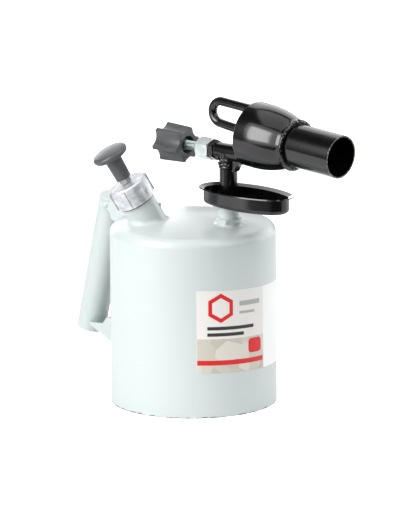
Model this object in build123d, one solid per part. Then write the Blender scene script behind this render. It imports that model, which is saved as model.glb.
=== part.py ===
from build123d import *
import math
import os

os.makedirs("parts", exist_ok=True)

# Petrol blowlamp in millimetres: +Z up, the burner points along +X.
# The origin is on the tank's axis at the level of its foot.

# Clearances
weld_gap = 0.05        # radial, where a piece is brazed or pressed in
running_gap = 0.05     # radial, where a shaft turns or slides in its hole
free_gap = 0.3         # radial, where two bodies pass without touching

# Tank
tank_r = 65.0
tank_wall = 1.0
wall_top_z = 134.0     # end of the straight wall
knuckle_r = 8.0
dome_rise = 14.0       # from the end of the straight wall to the middle of the dome
bottom_z = 3.5         # underside of the tank's floor
bottom_wall = 1.0
bottom_bend_r = 2.5

# Riser, from the bush on the dome up to the valve body
riser_inset = 27.4     # from the tank's wall to the riser's axis
riser_x = tank_r - riser_inset
riser_r = 7.15
riser_wall = 2.2
riser_bead_r = 7.75
riser_rise = 56.2   # of the bead above the tank's wall
riser_bead_z = wall_top_z + riser_rise
riser_bead_height = 3.2
riser_neck_r = 6.0
riser_neck_height = 4.6
bush_shank_r = 9.0
bush_foot_r = 9.6
bush_hex = 18.0        # across flats
bush_rise = 13.4
bush_hex_z = wall_top_z + bush_rise
bush_hex_height = 3.4
bush_hex_top_z = bush_hex_z + bush_hex_height
bush_shank_length = 13.4
bush_shank_z = bush_hex_z - bush_shank_length
bush_weld_r = 3.0
bush_collar_r = 8.1
bush_socket_drop = 0.8   # below the hexagon's top
bush_socket_z = bush_hex_top_z - bush_socket_drop
bush_bore_r = 3.0
pickup_r = 4.0
pickup_wall = 1.0
pickup_socket = 6.0    # depth of the pickup pipe's socket in the bush

# Pickup filter
filter_foot_z = 7.0
filter_height = 20.0
filter_r = 7.0
filter_wall = 0.9
filter_slot = 1.6
filter_slots = 10
filter_slot_foot = 3.0
filter_slot_height = 9.0
pickup_foot_z = 12.0

# Priming tray: an oval pan with a flared lip
tray_reach = 18.3   # from the riser to the middle of the oval
tray_x = riser_x + tray_reach
tray_rise = 10.3   # underside above the bush's hexagon
tray_z = bush_hex_top_z + tray_rise
tray_half_length = 44.2
tray_half_width = 22.0
tray_end_r = 16.2      # of the lip at both ends; the sides are flatter arcs
tray_lip = 3.7         # width of the flared lip
tray_depth = 13.5      # underside to the edge of the lip
tray_wall_height = 11.5
tray_wall = 0.8
tray_bend_r = 3.5
tray_ring_r = 9.8
tray_ring_height = 3.0

# Valve body: a horizontal tube along X
valve_rise = 12.6   # of its axis above the riser's bead
valve_z = riser_bead_z + valve_rise
valve_r = 6.6
valve_bore_r = 3.5
valve_spigot_r = 5.2
valve_hex = 14.5
valve_rear = 15.6   # from the riser back to the hexagon
valve_hex_x = riser_x - valve_rear
valve_hex_length = 5.0
valve_front = 46.4
valve_front_x = riser_x + valve_front
valve_seat = 9.4
valve_seat_x = riser_x + valve_seat
valve_outlet_r = 1.6
valve_boss_r = 7.2
valve_boss_rise = 4.3
valve_boss_z = riser_bead_z + valve_boss_rise
valve_boss_socket = 2.6

# Gland on the rear end of the valve body
gland_hex = 15.5
gland_length = 12.6
gland_x = valve_hex_x - gland_length
gland_floor = 3.0
packing_length = 3.2
gland_washer_length = 0.8
valve_spigot_x = gland_x + gland_floor + packing_length + gland_washer_length
gland_thread_gap = 0.1

# Needle spindle and star knob
spindle_r = 3.1
spindle_rear = 34.9   # behind the gland
spindle_rear_x = gland_x - spindle_rear
spindle_step = 6.0
spindle_step_x = valve_hex_x + spindle_step
needle_r = 2.2
needle_tip_r = 0.8
needle_half_angle = 30.0
seat_gap = 0.3         # along the axis, with the valve shut
knob_gap = 13.9   # between the knob and the gland
knob_front_x = gland_x - knob_gap
knob_length = 25.0
knob_front_r = 14.1    # over the ridges
knob_rear_r = 15.0
knob_lobes = 6
knob_phase = 12.0
knob_waist_r = 10.4    # bottom of the flutes
knob_flute_r = 7.8
knob_edge = 0.8
knob_recess_r = 7.0
knob_recess_depth = 8.0
knob_boss_r = 4.6
knob_boss_drop = 2.5   # the boss stops this far inside the front face
knob_screw_recess_r = 4.2
knob_screw_recess = 3.0
knob_screw_head_r = 3.6
knob_screw_head = 2.0
knob_screw_r = 1.5
knob_screw_length = 6.0
knob_screw_slot = 0.9

# Burner, turned about an axis that dips towards the mouth
burner_reach = 27.2   # from the riser to the rear rim of the bell
burner_x = riser_x + burner_reach
burner_rise = 17.9   # above the valve's axis
burner_z = valve_z + burner_rise
burner_dip = 4.0
sheet = 0.8
bell_r = 25.5
bell_straight = 19.6
bell_curve_r = 33.4
bell_neck_r = 19.3
bell_neck_end = 42.8
flame_r = 16.8
flame_wall = 1.2
flame_foot = 36.0      # along the axis, from the bell's rear rim
flame_mouth = 88.2
collar_foot = 38.6
collar_length = 5.0
collar_bevel = 1.0

# Vapour tube: a pipe in the bell, a sleeve, and the loop behind the bell
vapour_r = 3.5
vapour_wall = 0.9
loop_leg = 18.9        # upper leg above the bell's axis
loop_reach = 35.1   # behind the bell's rim
loop_bend_x = burner_x - loop_reach
loop_bend_r = 8.7
loop_slant = 3.4       # lower leg against the axis
loop_knee_r = 20.0
loop_front = 5.0       # the lower leg ends this far behind the bell's rim
union_foot = 3.0
union_length = 9.0
union_r = 5.1
pipe_socket = 4.0
pipe_reach = 11.0
pipe_front_x = valve_front_x + pipe_reach
pipe_side = 16.0
pipe_corner_r = 8.0

# Jet
holder_hex = 10.0
holder_foot = -11.0
holder_length = 12.0
holder_socket = 6.0
jet_hex = 7.0
jet_shoulder = 4.0
jet_length = 8.5
jet_thread_r = 2.4
jet_thread = 4.0
jet_tip_r = 1.6
jet_hole_r = 0.4

# Saddle that joins riser, valve body and bell
saddle_width = 6.4
saddle_foot = 1.6      # below the riser's bead
saddle_foot_reach = 8.6
saddle_nose = 10.6     # from the riser's axis
saddle_nose_drop = 3.4 # below the underside of the valve body
saddle_strip = 0.6     # below the underside of the valve body
saddle_strip_start = 13.4
saddle_weld = 14.0     # along the inside of the bell
saddle_head = 3.0      # above the underside of the valve body, before the tube is cut away

# Filler neck, pump and cap share one tilted axis
pump_azimuth = 238.0
pump_tilt = 29.0
pump_inset = 28.1      # from the tank's wall to the foot of the neck
pump_radius = tank_r - pump_inset
pump_rise = 13.0
pump_z = wall_top_z + pump_rise
neck_r = 13.5
neck_foot = -8.5
neck_shoulder = 16.3
neck_weld_r = 4.0
neck_spigot_r = 11.8
neck_top = 27.0
gasket_r = 14.4
gasket_height = 1.1
neck_bore_r = 10.3   # wider than the barrel, which hangs in it by its flange
barrel_r = 8.5
barrel_wall = 1.0
barrel_foot = -85.0
barrel_flange_r = 11.6
barrel_flange = 1.2
barrel_gasket = 0.8
cap_r = 15.5
cap_top = 34.0
cap_edge = 0.9
cap_ribs = 6
cap_rib_phase = 27.0
cap_rib_r = 16.7
cap_rib_width = 2.6
cap_rib_margin = 0.9
rod_r = 3.0
rod_thread_r = 2.5
rod_top = 50.0
locknut_hex = 8.4
locknut_foot = 34.9
locknut_top = 38.9
mushroom_r = 14.35
mushroom_edge = 5.6
mushroom_foot = 39.0
mushroom_under = 58.2
mushroom_crown = 1.3
mushroom_stem_foot_r = 6.15
mushroom_stem_top_r = 6.7
mushroom_fillet = 2.0
mushroom_rim_r = 2.3
mushroom_bore_depth = 11.2

# Piston at the foot of the rod
piston_foot = -77.6
piston_nut_hex = 8.0
piston_nut_height = 4.0
washer_r = 5.7
washer_height = 1.2
cup_height = 6.6
cup_base = 1.6
cup_wall = 1.3

# Check valve in the foot of the barrel
plug_top = -79.4
plug_flange = 3.0
plug_nose = 3.0
plug_nose_r = 7.5
plug_bore_r = 2.0
cage_r = 8.5
cage_foot = -101.0
cage_floor = 1.2
cage_window_width = 6.0
cage_window_foot = -98.4
cage_window_height = 6.8
disc_r = 6.0
disc_height = 2.2
spring_wire_r = 0.3
spring_r = 4.2
spring_turns = 4

# Handle: a leaning tube behind the tank, placed by its top end
handle_gap = 18.53     # from the tank's wall to the axis at the top end
handle_rise = 15.91    # of the top end above the tank's wall
handle_lean = 13.3
handle_r = 11.5
handle_wall = 1.0
handle_length = 111.6
handle_top_x = -tank_r - handle_gap
handle_top_z = wall_top_z + handle_rise
handle_x = handle_top_x - handle_length * math.sin(math.radians(handle_lean))
handle_z = handle_top_z - handle_length * math.cos(math.radians(handle_lean))
handle_cap_height = 1.6
handle_cap_edge = 1.1
handle_cap_spigot = 6.0

# Upper bracket of the handle
bracket_sheet = 1.2
rivet_forward = 1.9
rivet_x = handle_top_x + rivet_forward
rivet_drop = 3.9
rivet_z = handle_top_z - rivet_drop
rivet_r = 1.6
rivet_head_r = 3.2
rivet_head = 1.7
rivet_depth = 3.0
upper_rear = 4.9
upper_left_x = rivet_x - upper_rear
upper_rise = 3.0
upper_top_z = rivet_z + upper_rise
upper_drop = 3.8
upper_foot_z = rivet_z - upper_drop
upper_notch = 4.0
upper_notch_x = rivet_x + upper_notch
upper_tip = 9.6   # from the tank's wall
upper_tip_x = -tank_r - upper_tip
upper_tip_rise = 0.9
upper_tip_z = wall_top_z + upper_tip_rise
upper_wall_drop = 5.5
upper_wall_z = wall_top_z - upper_wall_drop
upper_corner_r = 2.0
upper_inner = 20.0   # inside the tank's wall, before the tank is cut away
upper_inner_x = upper_inner - tank_r

# Lower bracket of the handle
lower_tip = 9.4
lower_tip_x = handle_x + lower_tip
lower_tip_rise = 5.8
lower_tip_z = handle_z + lower_tip_rise
lower_tip_height = 1.6
lower_corner = 20.4   # from the tank's wall
lower_corner_x = -tank_r - lower_corner
lower_corner_rise = 8.3
lower_corner_z = handle_z + lower_corner_rise
lower_step = 16.2   # from the tank's wall
lower_step_x = -tank_r - lower_step
lower_top_rise = 13.9
lower_top_z = handle_z + lower_top_rise
lower_step_r = 1.6
lower_inner = 5.0   # inside the tank's wall, before the tank is cut away
lower_wall_x = lower_inner - tank_r
lower_wall_drop = 13.2
lower_wall_z = handle_z - lower_wall_drop


def polar(centre, radius, degrees):
    """Point at an angle from +Z, turned towards +X, about a centre (x, z)."""
    angle = math.radians(degrees)
    return (centre[0] + radius * math.sin(angle), centre[1] + radius * math.cos(angle))


def arc(centre, radius, start, end):
    """Arc about a centre (x, z), between two angles measured from +Z."""
    middle = (start + end) / 2
    return ThreePointArc(*[polar(centre, radius, a) for a in (start, middle, end)])


def spin(*edges):
    """Solid turned about Z from a closed outline of edges in radius and height."""
    return revolve(Plane.XZ * make_face(Curve() + list(edges)), Axis.Z)


def turned(*points):
    """Solid turned about Z from a closed outline of (radius, height) points."""
    return revolve(Plane.XZ * make_face(Polyline(*points, close=True)), Axis.Z)


def disc(radius, low, high):
    return turned((0, low), (radius, low), (radius, high), (0, high))


def ring(outer, inner, low, high):
    return turned((inner, low), (outer, low), (outer, high), (inner, high))


def hexagon(flats, low, high):
    """Hexagonal bar with its corners turned off at both ends."""
    bar = extrude(RegularPolygon(flats / 2, 6, major_radius=False), high - low)
    flat_r = flats / 2
    corner_r = flat_r / math.cos(math.radians(30))
    fall = (corner_r - flat_r) * math.tan(math.radians(30))
    envelope = turned(
        (0, low), (flat_r, low), (corner_r, low + fall), (corner_r, high - fall), (flat_r, high), (0, high)
    )
    return (Pos(0, 0, low) * bar) & envelope


def slab(outline, half_width, low=0.0):
    """Plate in the XZ plane from an outline, between two distances from that plane, on both sides."""
    face = Plane.XZ * make_face(outline)
    near = Pos(0, -low, 0) * extrude(face, half_width - low)
    return near + mirror(near, Plane.XZ)


# Frames that carry the sub-assemblies
dip = math.radians(burner_dip)
tilt = math.radians(pump_tilt)
azimuth = math.radians(pump_azimuth)
lean = math.radians(handle_lean)
pump_axis = (math.sin(tilt) * math.cos(azimuth), math.sin(tilt) * math.sin(azimuth), math.cos(tilt))
pump_foot = (pump_radius * math.cos(azimuth), pump_radius * math.sin(azimuth), pump_z)

valve_frame = Plane((0, 0, valve_z), x_dir=(0, 0, 1), z_dir=(1, 0, 0)).location
burner_frame = Plane(
    (burner_x, 0, burner_z), x_dir=(math.sin(dip), 0, math.cos(dip)), z_dir=(math.cos(dip), 0, -math.sin(dip))
).location
pump_frame = Plane(pump_foot, x_dir=(math.sin(azimuth), -math.cos(azimuth), 0), z_dir=pump_axis).location
handle_frame = Plane(
    (handle_x, 0, handle_z), x_dir=(math.cos(lean), 0, -math.sin(lean)), z_dir=(math.sin(lean), 0, math.cos(lean))
).location
riser_frame = Pos(riser_x, 0, 0)


# Tank
crown_r = ((tank_r - knuckle_r) ** 2 + dome_rise**2 - knuckle_r**2) / (2 * (dome_rise - knuckle_r))
crown_z = wall_top_z + dome_rise - crown_r
knuckle_start = math.degrees(math.asin((tank_r - knuckle_r) / (crown_r - knuckle_r)))


def tank_body(inset):
    """Closed tank shape, drawn in from the outside by the inset."""
    knuckle = (tank_r - knuckle_r, wall_top_z)
    wall = tank_r - inset
    return spin(
        Line((0, 0), (wall, 0)),
        Line((wall, 0), (wall, wall_top_z)),
        arc(knuckle, knuckle_r - inset, 90, knuckle_start),
        arc((0, crown_z), crown_r - inset, knuckle_start, 0),
        Line((0, crown_z + crown_r - inset), (0, 0)),
    )


def welded_foot(piece, radius):
    """Part of a round piece above the dome, with the hollow weld round its foot."""
    joined = tank_body(0) + piece
    seam = joined.edges().filter_by(lambda edge: edge.geom_type not in (GeomType.LINE, GeomType.CIRCLE))
    return fillet(seam, radius) - tank_body(0)


def tank_shell():
    holes = riser_frame * disc(bush_shank_r + weld_gap, wall_top_z, bush_hex_top_z)
    holes += pump_frame * disc(neck_r + weld_gap, neck_foot, neck_top)
    return tank_body(0) - tank_body(tank_wall) - holes


def tank_bottom():
    """Flat floor with a flange that lines the tank's wall down to the foot."""
    outer = tank_r - tank_wall - weld_gap
    inner = outer - bottom_wall
    top = bottom_z + bottom_wall
    centre_r = outer - bottom_bend_r
    centre_z = top - bottom_bend_r
    return spin(
        Line((0, bottom_z), (0, top)),
        Line((0, top), (centre_r, top)),
        arc((centre_r, centre_z), bottom_bend_r, 0, 90),
        Line((outer, centre_z), (outer, 0)),
        Line((outer, 0), (inner, 0)),
        Line((inner, 0), (inner, centre_z)),
        arc((centre_r, centre_z), bottom_bend_r - bottom_wall, 90, 0),
        Line((centre_r, bottom_z), (0, bottom_z)),
    )


# Fuel way up to the burner
def riser_bush():
    socket_r = riser_r + weld_gap
    core = disc(bush_shank_r, bush_shank_z, bush_hex_z)
    core += disc(bush_collar_r, bush_hex_z, tray_z)
    core += hexagon(bush_hex, bush_hex_z, bush_hex_top_z)
    foot = welded_foot(riser_frame * disc(bush_foot_r, wall_top_z, bush_hex_z), bush_weld_r)
    bush = riser_frame * core + foot
    bores = disc(socket_r, bush_socket_z, tray_z)
    bores += disc(bush_bore_r, bush_shank_z, tray_z)
    bores += disc(pickup_r + weld_gap, bush_shank_z, bush_shank_z + pickup_socket)
    return bush - riser_frame * bores


def fuel_pickup_tube():
    return riser_frame * ring(pickup_r, pickup_r - pickup_wall, pickup_foot_z, bush_shank_z + pickup_socket)


def pickup_filter():
    """Cup round the foot of the pickup pipe, with slots for the fuel."""
    top = filter_foot_z + filter_height
    inner = filter_r - filter_wall
    cup = turned(
        (0, filter_foot_z),
        (filter_r, filter_foot_z),
        (filter_r, top - filter_wall),
        (pickup_r + filter_wall, top),
        (pickup_r + weld_gap, top),
        (pickup_r + weld_gap, top - filter_wall),
        (inner, top - 2 * filter_wall),
        (inner, filter_foot_z + filter_wall),
        (0, filter_foot_z + filter_wall),
    )
    slot = Pos(filter_r, 0, filter_foot_z + filter_slot_foot + filter_slot_height / 2) * Box(
        filter_r, filter_slot, filter_slot_height
    )
    slots = [Rot(0, 0, turn * 360 / filter_slots) * slot for turn in range(filter_slots)]
    return riser_frame * (cup - slots)


def riser_pipe():
    """Pipe with a bead and a drawn-in neck that enters the valve body."""
    bead_top = riser_bead_z + riser_bead_height
    bead_middle = riser_bead_z + riser_bead_height / 2
    neck_top_z = bead_top + riser_neck_height - riser_bead_height / 2
    inner = riser_r - riser_wall
    return riser_frame * spin(
        Line((inner, bush_socket_z), (riser_r, bush_socket_z)),
        Line((riser_r, bush_socket_z), (riser_r, riser_bead_z)),
        ThreePointArc((riser_r, riser_bead_z), (riser_bead_r, bead_middle), (riser_neck_r, bead_top)),
        Line((riser_neck_r, bead_top), (riser_neck_r, neck_top_z)),
        Line((riser_neck_r, neck_top_z), (inner, neck_top_z)),
        Line((inner, neck_top_z), (inner, bush_socket_z)),
    )


# Priming tray
tray_end_x = tray_half_length - tray_end_r
tray_side_r = (tray_end_x**2 + tray_half_width**2 - tray_end_r**2) / (2 * (tray_half_width - tray_end_r))
tray_side_y = tray_side_r - tray_half_width
tray_turn = math.degrees(math.atan2(tray_side_y, tray_end_x))
tray_floor_inset = tray_lip + tray_bend_r


def tray_section(reach):
    """Section through lip, wall and bottom bend, with the lip's edge at a distance from the axis."""
    wall = reach - tray_lip
    inner = wall - tray_wall
    bend = (reach - tray_floor_inset, tray_bend_r)
    lip_inner = (inner, tray_wall_height + tray_wall / 2)
    lip_top = (reach - tray_wall / 2, tray_depth)
    return make_face(
        Curve()
        + [
            arc(bend, tray_bend_r, 180, 90),
            Line((wall, tray_bend_r), (wall, tray_wall_height)),
            Line((wall, tray_wall_height), (reach, tray_depth - tray_wall)),
            Line((reach, tray_depth - tray_wall), lip_top),
            Line(lip_top, lip_inner),
            Line(lip_inner, (inner, tray_bend_r)),
            arc(bend, tray_bend_r - tray_wall, 90, 180),
            Line((bend[0], tray_wall), (bend[0], 0)),
        ]
    )


def priming_tray():
    """Oval pan of four arcs: two round ends and two flatter sides, and its floor."""
    end = revolve(Plane.XZ * tray_section(tray_end_r), Axis.Z, tray_turn)
    end = Pos(tray_end_x, 0, 0) * (end + mirror(end, Plane.XZ))
    side = Rot(0, 0, 90) * revolve(Plane.XZ * tray_section(tray_side_r), Axis.Z, 90 - tray_turn)
    side = Pos(0, -tray_side_y, 0) * (side + mirror(side, Plane.YZ))
    end_r = tray_end_r - tray_floor_inset
    side_r = tray_side_r - tray_floor_inset
    turn = math.radians(tray_turn)
    x = tray_end_x + end_r * math.cos(turn)
    y = end_r * math.sin(turn)
    floor = make_face(
        Curve()
        + [
            ThreePointArc((x, -y), (tray_end_x + end_r, 0), (x, y)),
            ThreePointArc((x, y), (0, side_r - tray_side_y), (-x, y)),
            ThreePointArc((-x, y), (-tray_end_x - end_r, 0), (-x, -y)),
            ThreePointArc((-x, -y), (0, tray_side_y - side_r), (x, -y)),
        ]
    )
    pan = extrude(floor, tray_wall) + end + mirror(end, Plane.YZ) + side + mirror(side, Plane.XZ)
    return Pos(tray_x, 0, tray_z) * pan - riser_frame * disc(riser_r + weld_gap, tray_z, tray_z + tray_depth)


def tray_ring():
    foot = tray_z + tray_wall
    top = foot + tray_ring_height
    inner = riser_r + weld_gap
    return riser_frame * turned(
        (inner, foot), (tray_ring_r, foot), (tray_ring_r, foot + tray_wall), (inner + tray_wall, top), (inner, top)
    )


# Valve
def valve_body():
    """Tube with hexagon head, threaded spigot, boss for the riser and the needle's seat."""
    fall = math.tan(math.radians(needle_half_angle))
    seat_length = (valve_bore_r - valve_outlet_r) / fall
    socket_r = vapour_r + weld_gap
    tube = disc(valve_r, valve_hex_x, valve_front_x)
    tube += hexagon(valve_hex, valve_hex_x, valve_hex_x + valve_hex_length)
    tube += disc(valve_spigot_r, valve_spigot_x, valve_hex_x)
    boss = riser_frame * disc(valve_boss_r, valve_boss_z, valve_z)
    body = valve_frame * tube + boss
    bores = valve_frame * turned(
        (0, valve_spigot_x),
        (valve_bore_r, valve_spigot_x),
        (valve_bore_r, valve_seat_x - seat_length),
        (valve_outlet_r, valve_seat_x),
        (valve_outlet_r, valve_front_x - pipe_socket),
        (socket_r, valve_front_x - pipe_socket),
        (socket_r, valve_front_x),
        (0, valve_front_x),
    )
    bores += riser_frame * disc(riser_neck_r + weld_gap, valve_boss_z, valve_boss_z + valve_boss_socket)
    bores += riser_frame * disc(bush_bore_r, valve_boss_z, valve_z)
    return body - bores


def gland_nut():
    floor_x = gland_x + gland_floor
    end_x = valve_hex_x
    nut = hexagon(gland_hex, gland_x, end_x)
    nut -= disc(spindle_r + running_gap, gland_x, end_x)
    nut -= disc(valve_spigot_r + gland_thread_gap, floor_x, end_x)
    return valve_frame * nut


def gland_packing():
    start = gland_x + gland_floor
    return valve_frame * ring(valve_spigot_r, spindle_r + running_gap, start, start + packing_length)


def gland_washer():
    start = gland_x + gland_floor + packing_length
    return valve_frame * ring(valve_spigot_r, spindle_r + running_gap, start, start + gland_washer_length)


def needle_spindle():
    """Spindle with its thinner needle; the tip stops just short of the seat."""
    fall = math.tan(math.radians(needle_half_angle))
    tip_x = valve_seat_x - (needle_tip_r - valve_outlet_r) / fall - seat_gap
    cone_x = tip_x - (needle_r - needle_tip_r) / fall
    hole_foot = spindle_rear_x + knob_screw_length
    return valve_frame * turned(
        (knob_screw_r + weld_gap, spindle_rear_x),
        (spindle_r, spindle_rear_x),
        (spindle_r, spindle_step_x),
        (needle_r, spindle_step_x + spindle_r - needle_r),
        (needle_r, cone_x),
        (needle_tip_r, tip_x),
        (0, tip_x),
        (0, hole_foot),
        (knob_screw_r + weld_gap, hole_foot),
    )


def valve_knob():
    """Six ridges left between concave flutes, a deep recess round a boss in the front face."""
    rear_x = knob_front_x - knob_length
    recess_floor = knob_front_x - knob_recess_depth
    body = turned(
        (0, rear_x),
        (knob_rear_r - knob_edge, rear_x),
        (knob_rear_r, rear_x + knob_edge),
        (knob_front_r, knob_front_x - knob_edge),
        (knob_front_r - knob_edge, knob_front_x),
        (0, knob_front_x),
    )
    flute_r = knob_waist_r + knob_flute_r
    flute = Pos(flute_r, 0, 0) * disc(knob_flute_r, rear_x, knob_front_x)
    step = 360 / knob_lobes
    body -= [Rot(0, 0, knob_phase - 90 + step * (lobe + 0.5)) * flute for lobe in range(knob_lobes)]
    body -= ring(knob_recess_r, knob_boss_r, recess_floor, knob_front_x)
    body -= disc(knob_boss_r, knob_front_x - knob_boss_drop, knob_front_x)
    body -= disc(spindle_r + weld_gap, spindle_rear_x, knob_front_x)
    body -= disc(knob_screw_recess_r, rear_x, rear_x + knob_screw_recess)
    body -= disc(knob_screw_r + weld_gap, rear_x, knob_front_x)
    return valve_frame * body


def knob_screw():
    seat_x = knob_front_x - knob_length + knob_screw_recess
    head_x = seat_x - knob_screw_head
    end_x = spindle_rear_x + knob_screw_length - free_gap
    screw = turned(
        (0, head_x),
        (knob_screw_head_r - knob_screw_slot / 2, head_x),
        (knob_screw_head_r, head_x + knob_screw_slot / 2),
        (knob_screw_head_r, seat_x),
        (knob_screw_r, seat_x),
        (knob_screw_r, end_x),
        (0, end_x),
    )
    slot = Pos(0, 0, head_x) * Box(2 * knob_screw_head_r, knob_screw_slot, 2 * knob_screw_slot)
    return valve_frame * (screw - slot)


# Burner
def burner_bell():
    """Thin bell: open rear rim, straight skirt, curved shoulder and a neck for the flame tube."""
    neck_in = bell_neck_r - sheet
    centre = (bell_r - bell_curve_r, bell_straight)
    outer_end = math.degrees(math.acos((bell_neck_r - centre[0]) / bell_curve_r))
    inner_end = math.degrees(math.acos((neck_in - centre[0]) / (bell_curve_r - sheet)))
    outer_z = bell_straight + bell_curve_r * math.sin(math.radians(outer_end))
    inner_z = bell_straight + (bell_curve_r - sheet) * math.sin(math.radians(inner_end))
    return burner_frame * spin(
        Line((bell_r - sheet, 0), (bell_r, 0)),
        Line((bell_r, 0), (bell_r, bell_straight)),
        arc(centre, bell_curve_r, 90, 90 - outer_end),
        Line((bell_neck_r, outer_z), (bell_neck_r, bell_neck_end)),
        Line((bell_neck_r, bell_neck_end), (neck_in, bell_neck_end)),
        Line((neck_in, bell_neck_end), (neck_in, inner_z)),
        arc(centre, bell_curve_r - sheet, 90 - inner_end, 90),
        Line((bell_r - sheet, bell_straight), (bell_r - sheet, 0)),
    )


def flame_tube():
    return burner_frame * ring(flame_r, flame_r - flame_wall, flame_foot, flame_mouth)


def collar_ring():
    """Ring between the bell's neck and the flame tube; its bevel leaves a groove inside the bell's edge."""
    outer = bell_neck_r - sheet - weld_gap
    top = collar_foot + collar_length
    return burner_frame * turned(
        (flame_r + weld_gap, collar_foot),
        (outer, collar_foot),
        (outer, top - 2 * collar_bevel),
        (outer - collar_bevel, top),
        (flame_r + weld_gap, top),
    )


def bell_bracket():
    """Gusset from the riser's top along the underside of the valve body, welded inside the bell's rim."""
    under_z = valve_z - valve_r
    foot_z = riser_bead_z - saddle_foot
    rim_x = burner_x - bell_r * math.sin(dip)
    rim_z = burner_z - bell_r * math.cos(dip)
    end_x = rim_x + saddle_weld
    outline = Polyline(
        (riser_x, foot_z),
        (riser_x + saddle_foot_reach, foot_z),
        (riser_x + saddle_nose, under_z - saddle_nose_drop),
        (riser_x + saddle_strip_start, under_z - saddle_strip),
        (rim_x, under_z - saddle_strip),
        (end_x, rim_z - saddle_weld * math.tan(dip)),
        (end_x, under_z + saddle_head),
        (riser_x, under_z + saddle_head),
        close=True,
    )
    saddle = slab(outline, saddle_width / 2)
    saddle -= valve_frame * disc(valve_r + weld_gap, valve_hex_x, valve_front_x)
    saddle -= burner_frame * ring(bell_r + saddle_head, bell_r - sheet - weld_gap, -weld_gap, bell_straight)
    saddle -= riser_frame * disc(valve_boss_r + weld_gap, valve_boss_z, valve_z)
    saddle -= riser_frame * disc(riser_bead_r + weld_gap, riser_bead_z, valve_z)
    return saddle - riser_frame * disc(riser_r + weld_gap, foot_z, riser_bead_z)


# Vapour tube
def bent_tube(path, start, direction):
    """Tube swept along a path from a start point, facing a direction."""
    end = Plane(start, z_dir=direction)
    return sweep(end * Circle(vapour_r), path) - sweep(end * Circle(vapour_r - vapour_wall), path)


def vaporiser_pipe():
    """From the valve body forward, up round one side of the flame, and back along the top of the bell."""
    joint = union_foot + union_length / 2

    def leg_z(x):
        along = (x - burner_x - loop_leg * math.sin(dip)) / math.cos(dip)
        return burner_z + loop_leg * math.cos(dip) - along * math.sin(dip)

    joint_x = burner_x + loop_leg * math.sin(dip) + joint * math.cos(dip)
    start = (valve_front_x - pipe_socket, 0, valve_z)
    crown = leg_z(pipe_front_x)
    path = FilletPolyline(
        start,
        (pipe_front_x, 0, valve_z),
        (pipe_front_x, pipe_side, (valve_z + crown) / 2),
        (pipe_front_x, 0, crown),
        (joint_x, 0, leg_z(joint_x)),
        radius=pipe_corner_r,
    )
    return bent_tube(path, start, (1, 0, 0))


def vapour_loop():
    """Upper leg, a half turn, and a lower leg that slants down to the bell's axis."""
    slant = math.radians(loop_slant)
    bend_z = (loop_bend_x - burner_x) / math.cos(dip)
    centre_x = loop_leg - loop_bend_r
    start = (loop_leg, 0, union_foot + union_length / 2)
    angles = (0, (math.pi - slant) / 2, math.pi - slant)
    turn = [(centre_x + loop_bend_r * math.cos(a), 0, bend_z - loop_bend_r * math.sin(a)) for a in angles]
    knee_z = turn[2][2] + turn[2][0] / math.tan(slant)
    path = Curve() + [
        Line(start, turn[0]),
        ThreePointArc(*turn),
        FilletPolyline(turn[2], (0, 0, knee_z), (0, 0, -loop_front), radius=loop_knee_r),
    ]
    return burner_frame * bent_tube(path, start, (0, 0, -1))


def pipe_union():
    bevel = union_r - vapour_r - weld_gap
    top = union_foot + union_length
    sleeve = turned(
        (vapour_r + weld_gap, union_foot),
        (vapour_r + bevel / 2, union_foot),
        (union_r, union_foot + bevel / 2),
        (union_r, top - bevel / 2),
        (vapour_r + bevel / 2, top),
        (vapour_r + weld_gap, top),
    )
    return burner_frame * Pos(loop_leg, 0, 0) * sleeve


def jet_holder():
    top = holder_foot + holder_length
    holder = hexagon(holder_hex, holder_foot, top)
    holder -= disc(vapour_r + weld_gap, holder_foot, holder_foot + holder_socket)
    holder -= disc(jet_thread_r + weld_gap, holder_foot, top)
    return burner_frame * holder


def jet():
    seat = holder_foot + holder_length
    tip = seat + jet_length
    nozzle = hexagon(jet_hex, seat, seat + jet_shoulder)
    nozzle += turned((0, seat), (jet_thread_r, seat), (jet_tip_r, tip), (0, tip))
    nozzle += disc(jet_thread_r, seat - jet_thread, seat)
    return burner_frame * (nozzle - disc(jet_hole_r, seat - jet_thread, tip))


# Neck, cap and pump
def filler_neck():
    inner = neck_bore_r
    foot = welded_foot(pump_frame * disc(neck_r, neck_foot, neck_shoulder), neck_weld_r)
    neck = pump_frame * (disc(neck_r, neck_foot, neck_shoulder) + disc(neck_spigot_r, neck_shoulder, neck_top))
    return neck + foot - pump_frame * disc(inner, neck_foot, neck_top)


def neck_gasket():
    return pump_frame * ring(
        gasket_r, neck_spigot_r + weld_gap, neck_shoulder, neck_shoulder + gasket_height
    )


cap_foot = neck_shoulder + gasket_height
flange_foot = neck_top + barrel_gasket
cap_ceiling = flange_foot + barrel_flange


def pump_cap():
    """Cast cap: six ribs round the skirt, a bore for the rod, and a thread recess."""
    body = turned(
        (0, cap_foot),
        (cap_r, cap_foot),
        (cap_r, cap_top - cap_edge),
        (cap_r - cap_edge, cap_top),
        (0, cap_top),
    )
    rib_height = cap_top - cap_foot - 2 * cap_rib_margin
    rib = Pos(cap_rib_r / 2, 0, cap_foot + cap_rib_margin + rib_height / 2) * Box(
        cap_rib_r, cap_rib_width, rib_height
    )
    step = 360 / cap_ribs
    body += [Rot(0, 0, cap_rib_phase + step * rib_number) * rib for rib_number in range(cap_ribs)]
    body -= disc(neck_spigot_r + free_gap, cap_foot, cap_ceiling)
    return pump_frame * (body - disc(rod_r + running_gap, cap_foot, cap_top))


def pump_barrel():
    inner = barrel_r - barrel_wall
    return pump_frame * turned(
        (inner, barrel_foot),
        (barrel_r, barrel_foot),
        (barrel_r, flange_foot),
        (barrel_flange_r, flange_foot),
        (barrel_flange_r, cap_ceiling),
        (inner, cap_ceiling),
    )


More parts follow.
